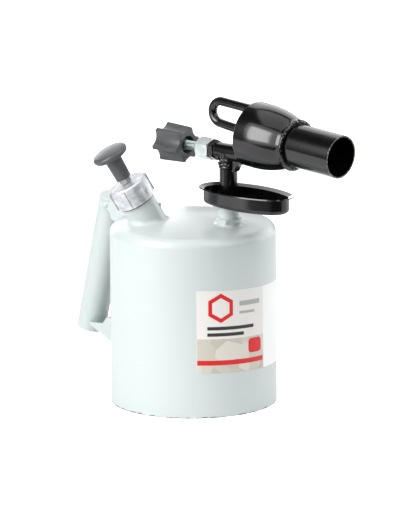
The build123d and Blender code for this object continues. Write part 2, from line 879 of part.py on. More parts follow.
def barrel_seal():
    return pump_frame * ring(barrel_flange_r, barrel_r + weld_gap, neck_top, flange_foot)


def pump_rod():
    shoulder = piston_foot + cup_height + washer_height
    return pump_frame * turned(
        (0, piston_foot),
        (rod_thread_r, piston_foot),
        (rod_thread_r, shoulder),
        (rod_r, shoulder),
        (rod_r, rod_top),
        (0, rod_top),
    )


def rod_locknut():
    nut = hexagon(locknut_hex, locknut_foot, locknut_top)
    return pump_frame * (nut - disc(rod_r + weld_gap, locknut_foot, locknut_top))


def pump_knob():
    """Mushroom knob: tapered stem, rounded rim and a slightly domed top."""
    edge_top = mushroom_under + mushroom_edge
    stem_top = mushroom_under - mushroom_fillet
    rim_x = mushroom_r - mushroom_rim_r
    rim_middle = mushroom_under + mushroom_edge / 2
    crown = edge_top + mushroom_crown
    dome_r = (rim_x**2 + mushroom_crown**2) / (2 * mushroom_crown)
    dome_end = math.degrees(math.asin(rim_x / dome_r))
    body = spin(
        Line((0, mushroom_foot), (mushroom_stem_foot_r, mushroom_foot)),
        Line((mushroom_stem_foot_r, mushroom_foot), (mushroom_stem_top_r, stem_top)),
        Line((mushroom_stem_top_r, stem_top), (mushroom_stem_top_r + mushroom_fillet, mushroom_under)),
        Line((mushroom_stem_top_r + mushroom_fillet, mushroom_under), (rim_x, mushroom_under)),
        ThreePointArc((rim_x, mushroom_under), (mushroom_r, rim_middle), (rim_x, edge_top)),
        arc((0, crown - dome_r), dome_r, dome_end, 0),
        Line((0, crown), (0, mushroom_foot)),
    )
    bore = disc(rod_r + weld_gap, mushroom_foot, mushroom_foot + mushroom_bore_depth)
    return pump_frame * (body - bore)


def piston_nut():
    nut = hexagon(piston_nut_hex, piston_foot, piston_foot + piston_nut_height)
    return pump_frame * (nut - disc(rod_thread_r + weld_gap, piston_foot, piston_foot + piston_nut_height))


def piston_washers():
    """One washer inside the cup on the nut, one on top of the cup below the rod's shoulder."""
    cup_under = piston_foot + cup_height - cup_base
    inner = rod_thread_r + weld_gap
    lower = ring(washer_r, inner, piston_foot + piston_nut_height, cup_under)
    upper = ring(washer_r, inner, piston_foot + cup_height, piston_foot + cup_height + washer_height)
    return pump_frame * (lower + upper)


def leather_cup():
    outer = barrel_r - barrel_wall - running_gap
    inner = outer - cup_wall
    top = piston_foot + cup_height
    return pump_frame * turned(
        (rod_thread_r + weld_gap, top - cup_base),
        (inner, top - cup_base),
        (outer - weld_gap, piston_foot),
        (outer, piston_foot),
        (outer, top - cup_base),
        (outer - cup_base, top),
        (rod_thread_r + weld_gap, top),
    )


plug_foot = barrel_foot - plug_flange
nose_foot = plug_foot - plug_nose
disc_foot = nose_foot - disc_height


def check_valve_body():
    plug_r = barrel_r - barrel_wall - weld_gap
    plug = disc(plug_r, barrel_foot, plug_top)
    plug += disc(barrel_r, plug_foot, barrel_foot)
    plug += disc(plug_nose_r, nose_foot, plug_foot)
    return pump_frame * (plug - disc(plug_bore_r, nose_foot, plug_top))


def check_valve_cage():
    """Cup with four windows, screwed over the nose of the plug."""
    inner = plug_nose_r + weld_gap
    cage = ring(cage_r, inner, cage_foot + cage_floor, plug_foot) + disc(cage_r, cage_foot, cage_foot + cage_floor)
    middle = cage_window_foot + cage_window_height / 2
    window = Pos(0, 0, middle) * Box(2 * cage_r, cage_window_width, cage_window_height)
    return pump_frame * (cage - window - Rot(0, 0, 90) * window)


def check_valve_disc():
    return pump_frame * disc(disc_r, disc_foot, nose_foot)


def check_valve_spring():
    """Coil between the cage's floor and the disc, in half turns."""
    low = cage_foot + cage_floor + spring_wire_r
    high = disc_foot - spring_wire_r
    pitch = (high - low) / spring_turns
    path = Helix(pitch=pitch, height=high - low, radius=spring_r)
    path = Pos(0, 0, low) * path
    start = path @ 0
    coil = sweep(Plane(start, z_dir=path % 0) * Circle(spring_wire_r), path)
    print("spring: least gap between turns", round(pitch - 2 * spring_wire_r, 2))
    return pump_frame * coil


# Handle
def handle_tube():
    tube = handle_frame * ring(handle_r, handle_r - handle_wall, 0, handle_length)
    return tube - rivet_holes()


def handle_cap():
    """Plug in the top end, with a rounded edge."""
    top = handle_length + handle_cap_height
    inner = handle_r - handle_wall - weld_gap
    cap = handle_frame * spin(
        Line((0, top), (handle_r - handle_cap_edge, top)),
        arc((handle_r - handle_cap_edge, top - handle_cap_edge), handle_cap_edge, 0, 90),
        Line((handle_r, top - handle_cap_edge), (handle_r, handle_length)),
        Line((handle_r, handle_length), (inner, handle_length)),
        Line((inner, handle_length), (inner, handle_length - handle_cap_spigot)),
        Line((inner, handle_length - handle_cap_spigot), (inner - handle_wall, handle_length - handle_cap_spigot)),
        Line((inner - handle_wall, handle_length - handle_cap_spigot), (inner - handle_wall, handle_length)),
        Line((inner - handle_wall, handle_length), (0, handle_length)),
        Line((0, handle_length), (0, top)),
    )
    return cap - rivet_holes()


def rivet_holes():
    hole = Plane((rivet_x, 0, rivet_z), z_dir=(0, 1, 0)).location * Cylinder(rivet_r + weld_gap, tank_r)
    return hole


def handle_clearance():
    return handle_frame * disc(handle_r + weld_gap, -handle_length, 2 * handle_length)


def upper_bracket():
    """Two cheeks beside the handle's tube and a web between them, closed on the tank's shoulder."""
    inner_y = handle_r + weld_gap
    outer_y = inner_y + bracket_sheet
    edge = FilletPolyline(
        (upper_left_x, upper_foot_z),
        (upper_notch_x, upper_foot_z),
        (upper_tip_x, upper_tip_z),
        (upper_inner_x, upper_wall_z),
        radius=upper_corner_r,
    )
    cheek = Curve() + [
        edge,
        Line((upper_inner_x, upper_wall_z), (upper_inner_x, upper_top_z)),
        Line((upper_inner_x, upper_top_z), (upper_left_x, upper_top_z)),
        Line((upper_left_x, upper_top_z), (upper_left_x, upper_foot_z)),
    ]
    web = Polyline(
        (upper_left_x, upper_top_z - bracket_sheet),
        (upper_inner_x, upper_top_z - bracket_sheet),
        (upper_inner_x, upper_top_z),
        (upper_left_x, upper_top_z),
        close=True,
    )
    bracket = slab(cheek, outer_y, inner_y)
    bracket += slab(web, outer_y) - handle_clearance()
    return bracket - tank_body(0) - rivet_holes()


def lower_bracket():
    """Two cheeks with a slanting lower edge and the web that joins them along that edge."""
    inner_y = handle_r + weld_gap
    outer_y = inner_y + bracket_sheet
    rise = (lower_tip_z - lower_wall_z) / (lower_wall_x - lower_tip_x)
    web_height = bracket_sheet * math.hypot(1, rise)
    edge = FilletPolyline(
        (lower_tip_x, lower_tip_z + lower_tip_height),
        (lower_corner_x, lower_corner_z),
        (lower_step_x, lower_top_z),
        (lower_wall_x, lower_top_z),
        radius=lower_step_r,
    )
    cheek = Curve() + [
        edge,
        Line((lower_wall_x, lower_top_z), (lower_wall_x, lower_wall_z)),
        Line((lower_wall_x, lower_wall_z), (lower_tip_x, lower_tip_z)),
        Line((lower_tip_x, lower_tip_z), (lower_tip_x, lower_tip_z + lower_tip_height)),
    ]
    web = Polyline(
        (lower_tip_x, lower_tip_z),
        (lower_wall_x, lower_wall_z),
        (lower_wall_x, lower_wall_z + web_height),
        (lower_tip_x, lower_tip_z + web_height),
        close=True,
    )
    bracket = slab(cheek, outer_y, inner_y) + slab(web, outer_y)
    return bracket - tank_body(0) - handle_clearance()


def handle_rivets():
    """A domed rivet each side, through the bracket's cheek and the tube's wall."""
    seat = handle_r + weld_gap + bracket_sheet
    dome_r = (rivet_head_r**2 + rivet_head**2) / (2 * rivet_head)
    dome_end = math.degrees(math.asin(rivet_head_r / dome_r))
    centre = (0, seat + rivet_head - dome_r)
    rivet = spin(
        arc(centre, dome_r, 0, dome_end),
        Line((rivet_head_r, seat), (rivet_r, seat)),
        Line((rivet_r, seat), (rivet_r, seat - rivet_depth)),
        Line((rivet_r, seat - rivet_depth), (0, seat - rivet_depth)),
        Line((0, seat - rivet_depth), (0, seat + rivet_head)),
    )
    near = Plane((rivet_x, 0, rivet_z), z_dir=(0, -1, 0)).location * rivet
    return near + mirror(near, Plane.XZ)


nodes = {
    "tank_shell": tank_shell,
    "tank_bottom": tank_bottom,
    "riser_bush": riser_bush,
    "fuel_pickup_tube": fuel_pickup_tube,
    "pickup_filter": pickup_filter,
    "riser_pipe": riser_pipe,
    "priming_tray": priming_tray,
    "tray_ring": tray_ring,
    "valve_body": valve_body,
    "gland_nut": gland_nut,
    "gland_packing": gland_packing,
    "gland_washer": gland_washer,
    "needle_spindle": needle_spindle,
    "valve_knob": valve_knob,
    "knob_screw": knob_screw,
    "burner_bell": burner_bell,
    "flame_tube": flame_tube,
    "collar_ring": collar_ring,
    "bell_bracket": bell_bracket,
    "vaporiser_pipe": vaporiser_pipe,
    "vapour_loop": vapour_loop,
    "pipe_union": pipe_union,
    "jet_holder": jet_holder,
    "jet": jet,
    "filler_neck": filler_neck,
    "neck_gasket": neck_gasket,
    "pump_cap": pump_cap,
    "pump_barrel": pump_barrel,
    "barrel_gasket": barrel_seal,
    "pump_rod": pump_rod,
    "rod_locknut": rod_locknut,
    "pump_knob": pump_knob,
    "piston_nut": piston_nut,
    "piston_washers": piston_washers,
    "leather_cup": leather_cup,
    "check_valve_body": check_valve_body,
    "check_valve_cage": check_valve_cage,
    "check_valve_disc": check_valve_disc,
    "check_valve_spring": check_valve_spring,
    "handle_tube": handle_tube,
    "handle_cap": handle_cap,
    "upper_bracket": upper_bracket,
    "lower_bracket": lower_bracket,
    "handle_rivets": handle_rivets,
}

for name, make in nodes.items():
    export_step(make(), f"parts/{name}.step")
print(len(nodes), "nodes")
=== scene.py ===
import math

import bpy
from mathutils import Matrix, Vector, noise


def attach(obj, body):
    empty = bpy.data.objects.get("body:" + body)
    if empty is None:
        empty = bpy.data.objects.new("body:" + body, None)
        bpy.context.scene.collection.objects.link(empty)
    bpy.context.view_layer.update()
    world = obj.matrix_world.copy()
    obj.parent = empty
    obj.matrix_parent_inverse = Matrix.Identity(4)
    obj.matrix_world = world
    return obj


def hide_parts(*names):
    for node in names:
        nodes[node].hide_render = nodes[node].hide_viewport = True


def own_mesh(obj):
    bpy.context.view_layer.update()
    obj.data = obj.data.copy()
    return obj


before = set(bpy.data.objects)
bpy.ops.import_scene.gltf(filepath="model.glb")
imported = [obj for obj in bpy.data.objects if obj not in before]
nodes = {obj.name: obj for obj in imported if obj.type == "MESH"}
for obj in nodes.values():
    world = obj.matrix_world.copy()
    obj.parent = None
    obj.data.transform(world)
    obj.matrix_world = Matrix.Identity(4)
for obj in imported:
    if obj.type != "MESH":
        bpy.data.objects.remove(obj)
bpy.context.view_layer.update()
bpy.ops.object.select_all(action="DESELECT")
scene = bpy.context.scene
scene.view_settings.view_transform = "Standard"

# Sizes of the lamp in metres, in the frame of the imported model
MM = 0.001
UP = (0.0, 0.0, 1.0)
TANK_RADIUS = 65.0 * MM
TANK_FOOT = (0.0, 0.0, 0.0)
VALVE_HEIGHT = 202.8 * MM
RISER_X = 37.6 * MM

# Burner: its axis starts in the middle of the bell's rear rim and dips towards the mouth
BURNER_REAR = Vector((64.8, 0, 220.7)) * MM
BURNER_DIP = math.radians(4.0)
BURNER_AXIS = Vector((math.cos(BURNER_DIP), 0, -math.sin(BURNER_DIP)))
FLAME_MOUTH = 88.2 * MM
MOUTH_POINT = tuple(BURNER_REAR + BURNER_AXIS * FLAME_MOUTH)
BELL_LIP = 42.8 * MM
BELL_RADIUS = 25.5 * MM
BELL_SKIRT = 8.0 * MM
BELL_NECK_START = 39.0 * MM
BELL_NECK_RADIUS = 19.3 * MM
BELL_SHEET = 0.8 * MM
BRAZE_PLACE = 42.9 * MM

# Label, its height above the floor and its reach round the tank
LABEL_RADIUS = TANK_RADIUS + 0.08 * MM
LABEL_SHEET = 0.14 * MM
LABEL_FOOT = 36.2 * MM
LABEL_HEIGHT = 65.3 * MM
LABEL_START = math.radians(-45.6)
LABEL_PRINT_END = math.radians(8.0)
LABEL_END = math.radians(57.0)
LABEL_SLOPE = -2.55 * MM      # drop for each radian round the tank
LABEL_UNITS = 100.0           # the label's own coordinates count in centimetres
PRINT_BLUR = 0.012            # soft edge of the print, in centimetres

# Fineness of turned pieces and merging of a solid's triangles
TURN_STEPS = 160
THREAD_STEPS = 28
CURVE_STEPS = 24
MERGE = 0.000002
SEAM_MERGE = 0.000001


# Shader node helpers
def new_material(name):
    material = bpy.data.materials.new(name)
    material.use_nodes = True
    return material, material.node_tree, material.node_tree.nodes["Principled BSDF"]


def node(tree, kind, **values):
    """Adds a shader node; keyword values set its properties or its inputs by name."""
    made = tree.nodes.new(kind)
    for key, value in values.items():
        if hasattr(made, key):
            setattr(made, key, value)
        else:
            made.inputs[key.replace("_", " ")].default_value = value
    return made


def join(tree, source, target):
    tree.links.new(source, target)


def maths(tree, operation, *terms, clamp=False):
    """Math node; each term is a socket or a number."""
    made = node(tree, "ShaderNodeMath", operation=operation, use_clamp=clamp)
    for place, term in enumerate(terms):
        if isinstance(term, (int, float)):
            made.inputs[place].default_value = term
        else:
            join(tree, term, made.inputs[place])
    return made.outputs[0]


def either(tree, first, second):
    return maths(tree, "MAXIMUM", first, second)


def group(name, inputs, outputs):
    """Starts a node group with named sockets."""
    tree = bpy.data.node_groups.new(name, "ShaderNodeTree")
    for label, kind, value in inputs:
        socket = tree.interface.new_socket(label, in_out="INPUT", socket_type=kind)
        if value is not None:
            socket.default_value = value
    for label, kind in outputs:
        tree.interface.new_socket(label, in_out="OUTPUT", socket_type=kind)
    return tree, tree.nodes.new("NodeGroupInput"), tree.nodes.new("NodeGroupOutput")


def place_group(tree, source, **values):
    made = tree.nodes.new("ShaderNodeGroup")
    made.node_tree = source
    for key, value in values.items():
        made.inputs[key.replace("_", " ")].default_value = value
    return made


def blend_colour(tree, mask, base, over):
    """Colour over base where the mask is one; base and over are sockets or RGBA values."""
    mix = node(tree, "ShaderNodeMix", data_type="RGBA")
    join(tree, mask, mix.inputs["Factor"])
    for value, slot in ((base, 6), (over, 7)):
        if isinstance(value, (tuple, list)):
            mix.inputs[slot].default_value = value
        else:
            join(tree, value, mix.inputs[slot])
    return mix.outputs[2]


def blend_value(tree, mask, base, over):
    """Value over base where the mask is one; base and over are sockets or numbers."""
    mix = node(tree, "ShaderNodeMix", data_type="FLOAT")
    join(tree, mask, mix.inputs["Factor"])
    for value, slot in ((base, 2), (over, 3)):
        if isinstance(value, (int, float)):
            mix.inputs[slot].default_value = value
        else:
            join(tree, value, mix.inputs[slot])
    return mix.outputs[0]


def add_bump(tree, shader, height, distance, strength):
    bump = node(tree, "ShaderNodeBump", Strength=strength, Distance=distance)
    join(tree, height, bump.inputs["Height"])
    join(tree, bump.outputs["Normal"], shader.inputs["Normal"])


def rgb(red, green, blue):
    """Linear RGBA from a screen colour of 0 to 255."""
    def linear(value):
        share = value / 255
        return share / 12.92 if share <= 0.04045 else ((share + 0.055) / 1.055) ** 2.4
    return (linear(red), linear(green), linear(blue), 1.0)


# Effects that several finishes use
FLOAT, COLOUR, VECTOR = "NodeSocketFloat", "NodeSocketColor", "NodeSocketVector"


def make_mottle():
    """Soft blotches between two colours."""
    tree, given, out = group(
        "mottle",
        [("Scale", FLOAT, 60.0), ("Contrast", FLOAT, 1.0), ("Dark", COLOUR, None), ("Light", COLOUR, None)],
        [("Colour", COLOUR), ("Amount", FLOAT)],
    )
    place = node(tree, "ShaderNodeTexCoord")
    clouds = node(tree, "ShaderNodeTexNoise", Detail=4.0, Roughness=0.6)
    join(tree, place.outputs["Object"], clouds.inputs["Vector"])
    join(tree, given.outputs["Scale"], clouds.inputs["Scale"])
    centred = maths(tree, "SUBTRACT", clouds.outputs["Fac"], 0.5)
    spread = maths(tree, "MULTIPLY_ADD", centred, given.outputs["Contrast"], 0.5, clamp=True)
    join(tree, blend_colour(tree, spread, given.outputs["Dark"], given.outputs["Light"]), out.inputs["Colour"])
    join(tree, spread, out.inputs["Amount"])
    return tree


def make_specks():
    """Mask of sparse small spots, such as dust and nibs."""
    tree, given, out = group(
        "specks",
        [("Scale", FLOAT, 400.0), ("Size", FLOAT, 0.12), ("Share", FLOAT, 0.3)],
        [("Mask", FLOAT)],
    )
    place = node(tree, "ShaderNodeTexCoord")
    cells = node(tree, "ShaderNodeTexVoronoi", feature="F1")
    join(tree, place.outputs["Object"], cells.inputs["Vector"])
    join(tree, given.outputs["Scale"], cells.inputs["Scale"])
    inside = maths(tree, "LESS_THAN", cells.outputs["Distance"], given.outputs["Size"])
    split = node(tree, "ShaderNodeSeparateColor")
    join(tree, cells.outputs["Color"], split.inputs[0])
    chosen = maths(tree, "LESS_THAN", split.outputs[0], given.outputs["Share"])
    join(tree, maths(tree, "MULTIPLY", inside, chosen), out.inputs["Mask"])
    return tree


def make_rim_wear():
    """Ragged mask near a plane: worn paint along an edge.

    Origin and Axis give the plane, and Width how far the wear reaches from it.
    """
    tree, given, out = group(
        "rim wear",
        [
            ("Origin", VECTOR, None),
            ("Axis", VECTOR, None),
            ("Width", FLOAT, 0.001),
            ("Raggedness", FLOAT, 0.5),
            ("Scale", FLOAT, 900.0),
        ],
        [("Mask", FLOAT)],
    )
    place = node(tree, "ShaderNodeTexCoord")
    offset = node(tree, "ShaderNodeVectorMath", operation="SUBTRACT")
    join(tree, place.outputs["Object"], offset.inputs[0])
    join(tree, given.outputs["Origin"], offset.inputs[1])
    along = node(tree, "ShaderNodeVectorMath", operation="DOT_PRODUCT")
    join(tree, offset.outputs[0], along.inputs[0])
    join(tree, given.outputs["Axis"], along.inputs[1])
    distance = maths(tree, "ABSOLUTE", along.outputs["Value"])
    share = maths(tree, "DIVIDE", distance, given.outputs["Width"])
    flaking = node(tree, "ShaderNodeTexNoise", Detail=5.0, Roughness=0.7)
    join(tree, place.outputs["Object"], flaking.inputs["Vector"])
    join(tree, given.outputs["Scale"], flaking.inputs["Scale"])
    ragged = maths(tree, "MULTIPLY_ADD", flaking.outputs["Fac"], given.outputs["Raggedness"], share)
    worn = node(tree, "ShaderNodeMapRange", interpolation_type="SMOOTHSTEP", From_Min=1.05, From_Max=0.95)
    join(tree, ragged, worn.inputs["Value"])
    join(tree, worn.outputs[0], out.inputs["Mask"])
    return tree


def make_skin():
    """Height of a sprayed or moulded surface: slow waves and a finer grain."""
    tree, given, out = group(
        "surface skin",
        [("Wave Scale", FLOAT, 150.0), ("Grain Scale", FLOAT, 1500.0), ("Grain", FLOAT, 0.3)],
        [("Height", FLOAT)],
    )
    place = node(tree, "ShaderNodeTexCoord")
    waves = node(tree, "ShaderNodeTexNoise", Detail=1.0, Roughness=0.4)
    grain = node(tree, "ShaderNodeTexNoise", Detail=2.0, Roughness=0.5)
    for texture, name in ((waves, "Wave Scale"), (grain, "Grain Scale")):
        join(tree, place.outputs["Object"], texture.inputs["Vector"])
        join(tree, given.outputs[name], texture.inputs["Scale"])
    total = maths(tree, "MULTIPLY_ADD", grain.outputs["Fac"], given.outputs["Grain"], waves.outputs["Fac"])
    join(tree, total, out.inputs["Height"])
    return tree


mottle = make_mottle()
specks = make_specks()
rim_wear = make_rim_wear()
skin = make_skin()

# Finishes
BARE_STEEL = rgb(150, 146, 140)
PRIMER = rgb(96, 92, 88)
PAINT_NIB = rgb(178, 187, 188)
DUST = rgb(66, 66, 68)


def sprayed_paint(name, dark, light, chip_and_shade_width):
    """Pale gloss paint with orange peel, dust nibs, and chips along the foot whose dark band is also painted shade
    along the foot's edge.
    """
    material, tree, shader = new_material(name)
    tone = place_group(tree, mottle, Scale=9.0, Contrast=1.2, Dark=dark, Light=light)
    nibs = place_group(tree, specks, Scale=260.0, Size=0.09, Share=0.05)
    peel = place_group(tree, skin, Wave_Scale=170.0, Grain_Scale=900.0, Grain=0.12)
    colour = blend_colour(tree, nibs.outputs[0], tone.outputs["Colour"], PAINT_NIB)
    roughness = blend_value(tree, tone.outputs["Amount"], 0.30, 0.36)
    # Primer chips along the foot; their ragged dark band also stands in for the shade along the foot's edge, so it is
    # partly painted shade
    if chip_and_shade_width:
        chips_and_shade = place_group(
            tree, rim_wear, Origin=TANK_FOOT, Axis=UP, Width=chip_and_shade_width, Raggedness=1.75, Scale=190.0,
        )
        colour = blend_colour(tree, chips_and_shade.outputs[0], colour, PRIMER)
        roughness = blend_value(tree, chips_and_shade.outputs[0], roughness, 0.6)
    join(tree, colour, shader.inputs["Base Color"])
    join(tree, roughness, shader.inputs["Roughness"])
    shader.inputs["Coat Weight"].default_value = 0.2
    shader.inputs["Coat Roughness"].default_value = 0.12
    add_bump(tree, shader, peel.outputs[0], 0.00004, 0.5)
    return material


def black_enamel(name, wear=()):
    """Glossy black stove paint; wear lists edges (origin, axis, width, raggedness) rubbed to bare steel."""
    material, tree, shader = new_material(name)
    tone = place_group(tree, mottle, Scale=45.0, Contrast=2.0, Dark=rgb(4, 4, 4), Light=rgb(9, 9, 9))
    dust = place_group(tree, specks, Scale=380.0, Size=0.11, Share=0.07)
    peel = place_group(tree, skin, Wave_Scale=120.0, Grain_Scale=700.0, Grain=0.18)
    colour = blend_colour(tree, dust.outputs[0], tone.outputs["Colour"], DUST)
    roughness = blend_value(tree, tone.outputs["Amount"], 0.18, 0.26)
    metallic = None
    for origin, axis, width, raggedness in wear:
        edge = place_group(
            tree, rim_wear, Origin=origin, Axis=axis, Width=width, Raggedness=raggedness, Scale=520.0,
        )
        colour = blend_colour(tree, edge.outputs[0], colour, BARE_STEEL)
        roughness = blend_value(tree, edge.outputs[0], roughness, 0.38)
        metallic = either(tree, metallic, edge.outputs[0]) if metallic else edge.outputs[0]
    join(tree, colour, shader.inputs["Base Color"])
    join(tree, roughness, shader.inputs["Roughness"])
    if metallic:
        join(tree, metallic, shader.inputs["Metallic"])
    shader.inputs["Specular IOR Level"].default_value = 0.12
    shader.inputs["Coat Weight"].default_value = 1.0
    shader.inputs["Coat Roughness"].default_value = 0.13
    add_bump(tree, shader, peel.outputs[0], 0.00008, 0.6)
    return material


def plain_metal(name, dark, light, smooth, rough, scale=120.0, grain=0.4, bump=0.00002):
    """Metal with a mottled tone, a roughness between smooth and rough, and a fine grain."""
    material, tree, shader = new_material(name)
    tone = place_group(tree, mottle, Scale=scale, Contrast=2.4, Dark=dark, Light=light)
    grained = place_group(tree, skin, Wave_Scale=scale * 3, Grain_Scale=scale * 20, Grain=grain)
    join(tree, tone.outputs["Colour"], shader.inputs["Base Color"])
    join(tree, blend_value(tree, tone.outputs["Amount"], smooth, rough), shader.inputs["Roughness"])
    shader.inputs["Metallic"].default_value = 1.0
    add_bump(tree, shader, grained.outputs[0], bump, 0.5)
    return material


def plain_matter(name, dark, light, smooth, rough, scale=120.0, grain=0.5, bump=0.00003):
    """Plastic, rubber, graphite or leather."""
    material, tree, shader = new_material(name)
    tone = place_group(tree, mottle, Scale=scale, Contrast=1.8, Dark=dark, Light=light)
    grained = place_group(tree, skin, Wave_Scale=scale * 4, Grain_Scale=scale * 22, Grain=grain)
    join(tree, tone.outputs["Colour"], shader.inputs["Base Color"])
    join(tree, blend_value(tree, tone.outputs["Amount"], smooth, rough), shader.inputs["Roughness"])
    add_bump(tree, shader, grained.outputs[0], bump, 0.6)
    return material


mouth_edge = (MOUTH_POINT, tuple(BURNER_AXIS), 0.8 * MM, 2.2)
bell_edge = (tuple(BURNER_REAR), tuple(BURNER_AXIS), 0.7 * MM, 2.0)
finishes = {
    "tank": sprayed_paint("tank_gloss_paint", rgb(185, 194, 193), rgb(188, 197, 196), 3 * MM),
    # The handle's paint is the tank's paint made darker, as painted shade
    "handle": sprayed_paint("handle_paint_darkened_as_shade", rgb(178, 187, 186), rgb(182, 191, 190), 0),
    "black": black_enamel("black_stove_enamel"),
    "mouth": black_enamel("flame_tube_enamel", [mouth_edge]),
    "bell": black_enamel("bell_enamel", [bell_edge]),
    "zinc": plain_metal("zinc_plating", rgb(224, 234, 234), rgb(242, 249, 249), 0.26, 0.40),
    # The spindle's zinc is the gland nut's zinc made darker, as painted shade
    "spindle": plain_metal("zinc_darkened_as_painted_shade", rgb(156, 168, 169), rgb(192, 202, 202), 0.26, 0.40),
    "steel": plain_metal("bare_steel", rgb(124, 124, 122), rgb(158, 157, 154), 0.28, 0.44),
    "spring": plain_metal("spring_steel", rgb(92, 92, 94), rgb(128, 128, 130), 0.25, 0.4),
    "aluminium": plain_metal(
        "cast_aluminium", rgb(182, 185, 190), rgb(242, 243, 246), 0.46, 0.62, scale=150.0, grain=0.8, bump=0.00005,
    ),
    "brass": plain_metal("brass", rgb(172, 138, 62), rgb(206, 174, 96), 0.25, 0.4),
    "plastic": plain_matter("grey_plastic", rgb(68, 69, 71), rgb(78, 79, 81), 0.30, 0.42),
    "rubber": plain_matter("oil_rubber", rgb(96, 88, 52), rgb(124, 114, 72), 0.5, 0.65),
    "graphite": plain_matter("graphite_packing", rgb(44, 44, 46), rgb(66, 66, 68), 0.5, 0.7),
    "leather": plain_matter("oiled_leather", rgb(94, 62, 36), rgb(130, 90, 56), 0.5, 0.7),
}
dressing = {
    "tank": ["tank_shell", "tank_bottom", "riser_bush", "filler_neck"],
    "handle": ["handle_tube", "handle_cap", "upper_bracket", "lower_bracket", "handle_rivets"],
    "black": [
        "riser_pipe", "priming_tray", "tray_ring", "valve_body", "collar_ring", "bell_bracket", "vaporiser_pipe",
        "vapour_loop", "pipe_union",
    ],
    "mouth": ["flame_tube"],
    "bell": ["burner_bell"],
    "zinc": ["gland_nut", "knob_screw"],
    "spindle": ["needle_spindle"],
    "steel": [
        "rod_locknut", "fuel_pickup_tube", "gland_washer", "pump_rod", "piston_nut", "piston_washers",
        "pump_barrel",
    ],
    "spring": ["check_valve_spring"],
    "aluminium": ["pump_cap"],
    "brass": ["pickup_filter", "jet_holder", "jet", "check_valve_body", "check_valve_cage"],
    "plastic": ["valve_knob", "pump_knob"],
    "rubber": ["neck_gasket", "barrel_gasket", "check_valve_disc"],
    "graphite": ["gland_packing"],
    "leather": ["leather_cup"],
}
for finish, names in dressing.items():
    for name in names:
        for material_slot in nodes[name].material_slots:
            material_slot.material = finishes[finish]


# Steps that several new pieces take
def apply_place():
    bpy.ops.object.transform_apply(location=True, rotation=True, scale=True)


def turn_faces_out():
    bpy.ops.object.mode_set(mode="EDIT")
    bpy.ops.mesh.select_all(action="SELECT")
    bpy.ops.mesh.normals_make_consistent(inside=False)
    bpy.ops.object.mode_set(mode="OBJECT")


def dress(piece, material):
    piece.data.materials.clear()
    piece.data.materials.append(material)


def smooth_faces(degrees):
    """Smooths across edges below this angle and lets go of the piece."""
    bpy.ops.object.shade_smooth_by_angle(angle=math.radians(degrees))
    bpy.ops.object.select_all(action="DESELECT")


# Label: a thin curved film stuck on the tank's wall
def round_the_tank(point):
    return math.atan2(point[1], point[0])


def printed_edge(tree, past):
    """One inside a printed shape, fading to zero over the blur; past is the distance outside it."""
    edge = node(tree, "ShaderNodeMapRange", From_Min=PRINT_BLUR, From_Max=0.0)
    join(tree, past, edge.inputs["Value"])
    return edge.outputs[0]


def panel_mask():
    """Rounded rectangle in label coordinates, which count from the lower left corner."""
    tree, given, out = group(
        "panel mask",
        [
            ("Left", FLOAT, 0.0),
            ("Right", FLOAT, 1.0),
            ("Low", FLOAT, 0.0),
            ("High", FLOAT, 1.0),
            ("Corner", FLOAT, 0.0),
        ],
        [("Mask", FLOAT)],
    )
    place = node(tree, "ShaderNodeUVMap")
    split = node(tree, "ShaderNodeSeparateXYZ")
    join(tree, place.outputs[0], split.inputs[0])
    corner = node(tree, "ShaderNodeCombineXYZ")
    for axis, first, last in ((0, "Left", "Right"), (1, "Low", "High")):
        total = maths(tree, "ADD", given.outputs[first], given.outputs[last])
        centre = maths(tree, "MULTIPLY", total, 0.5)
        away = maths(tree, "SUBTRACT", split.outputs[axis], centre)
        half = maths(tree, "SUBTRACT", given.outputs[last], centre)
        past = maths(tree, "SUBTRACT", maths(tree, "ABSOLUTE", away), half)
        eased = maths(tree, "ADD", past, given.outputs["Corner"])
        join(tree, maths(tree, "MAXIMUM", eased, 0.0), corner.inputs[axis])
    length = node(tree, "ShaderNodeVectorMath", operation="LENGTH")
    join(tree, corner.outputs[0], length.inputs[0])
    outside = maths(tree, "SUBTRACT", length.outputs["Value"], given.outputs["Corner"])
    join(tree, printed_edge(tree, outside), out.inputs["Mask"])
    return tree


def hexagon_mask():
    """Hexagonal ring in label coordinates."""
    tree, given, out = group(
        "hexagon mask",
        [("Across", FLOAT, 2.0), ("Up", FLOAT, 5.0), ("Radius", FLOAT, 1.0), ("Band", FLOAT, 0.2)],
        [("Mask", FLOAT)],
    )
    place = node(tree, "ShaderNodeUVMap")
    centre = node(tree, "ShaderNodeCombineXYZ")
    join(tree, given.outputs["Across"], centre.inputs[0])
    join(tree, given.outputs["Up"], centre.inputs[1])
    offset = node(tree, "ShaderNodeVectorMath", operation="SUBTRACT")
    join(tree, place.outputs[0], offset.inputs[0])
    join(tree, centre.outputs[0], offset.inputs[1])
    farthest = None
    for turn in (0, math.radians(60), math.radians(120)):
        across = node(tree, "ShaderNodeVectorMath", operation="DOT_PRODUCT")
        across.inputs[1].default_value = (math.cos(turn), math.sin(turn), 0)
        join(tree, offset.outputs[0], across.inputs[0])
        size = maths(tree, "ABSOLUTE", across.outputs["Value"])
        farthest = either(tree, farthest, size) if farthest else size
    away = maths(tree, "SUBTRACT", farthest, given.outputs["Radius"])
    past = maths(tree, "SUBTRACT", maths(tree, "ABSOLUTE", away), given.outputs["Band"])
    join(tree, printed_edge(tree, past), out.inputs["Mask"])
    return tree


